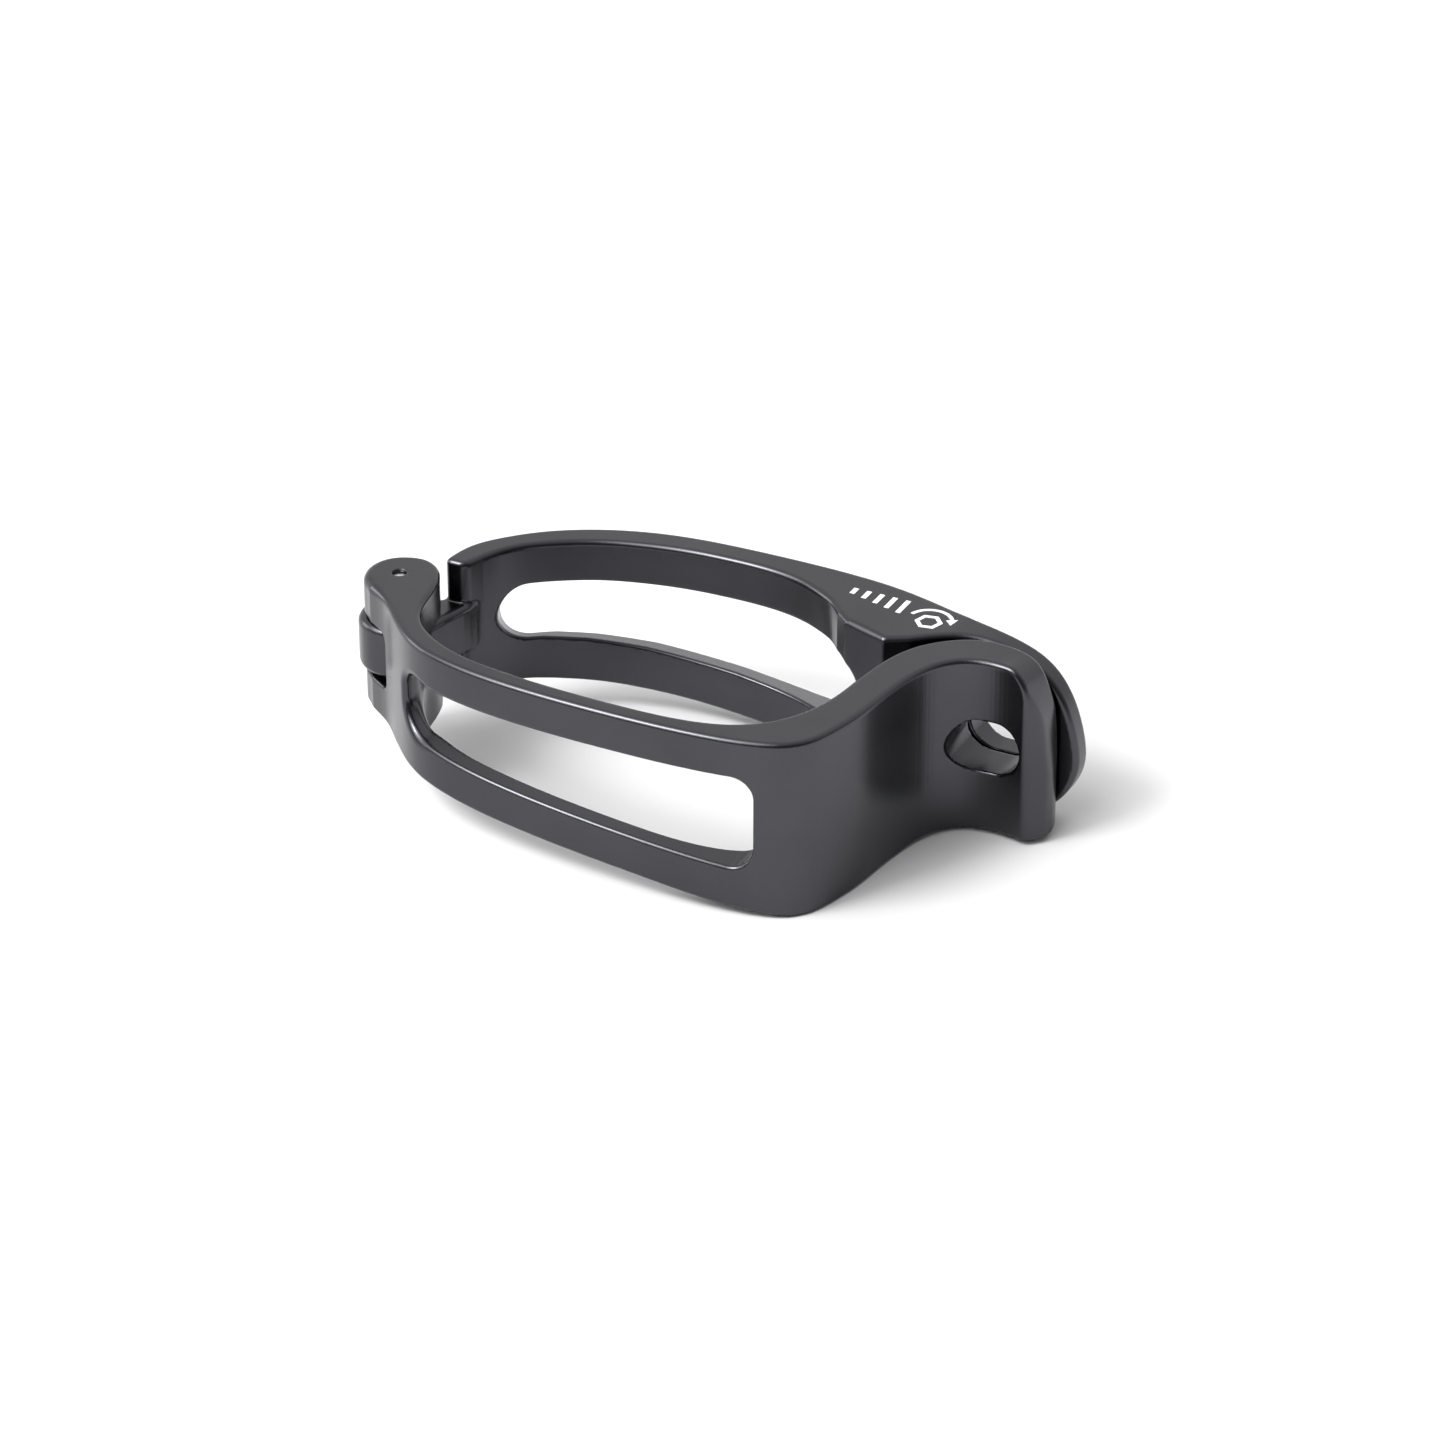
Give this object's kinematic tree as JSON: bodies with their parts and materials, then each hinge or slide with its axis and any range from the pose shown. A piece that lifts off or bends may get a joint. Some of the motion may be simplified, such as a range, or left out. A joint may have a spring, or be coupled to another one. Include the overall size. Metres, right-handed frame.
{
  "type": "front derailleur clamp",
  "caption": "Hinged two-part clamp for an oval seat tube with a slotted hanger flange for a bolt-on front derailleur; the rear half swings open on a steel pin.",
  "frame": {"origin": "centre of the closed clamp's bounding box", "axes": "+X along the long axis of the oval tube seat, from the hinge pin to the slotted flange; +Y from the front (hanger) half to the rear half; +Z along the seat tube and the hinge pin, towards the level upper faces"},
  "size_m": [0.0756, 0.038, 0.0204],
  "materials": {
    "anodised_front": "black satin anodised",
    "anodised_rear": "black satin anodised, with a printed torque symbol on its upper face",
    "pin_steel": "plain ground steel"
  },
  "bodies": {
    "hanger": {"hanger_jaw": "anodised_front", "hinge_pin": "pin_steel"},
    "jaw": {"clamp_jaw": "anodised_rear"}
  },
  "joints": [
    {"name": "clamp_hinge", "type": "hinge", "parent": "hanger", "child": "jaw", "pos_m": [-0.0333, -0.0027, 0], "axis": [0, 0, 1], "range_deg": [0, 200]}
  ]
}
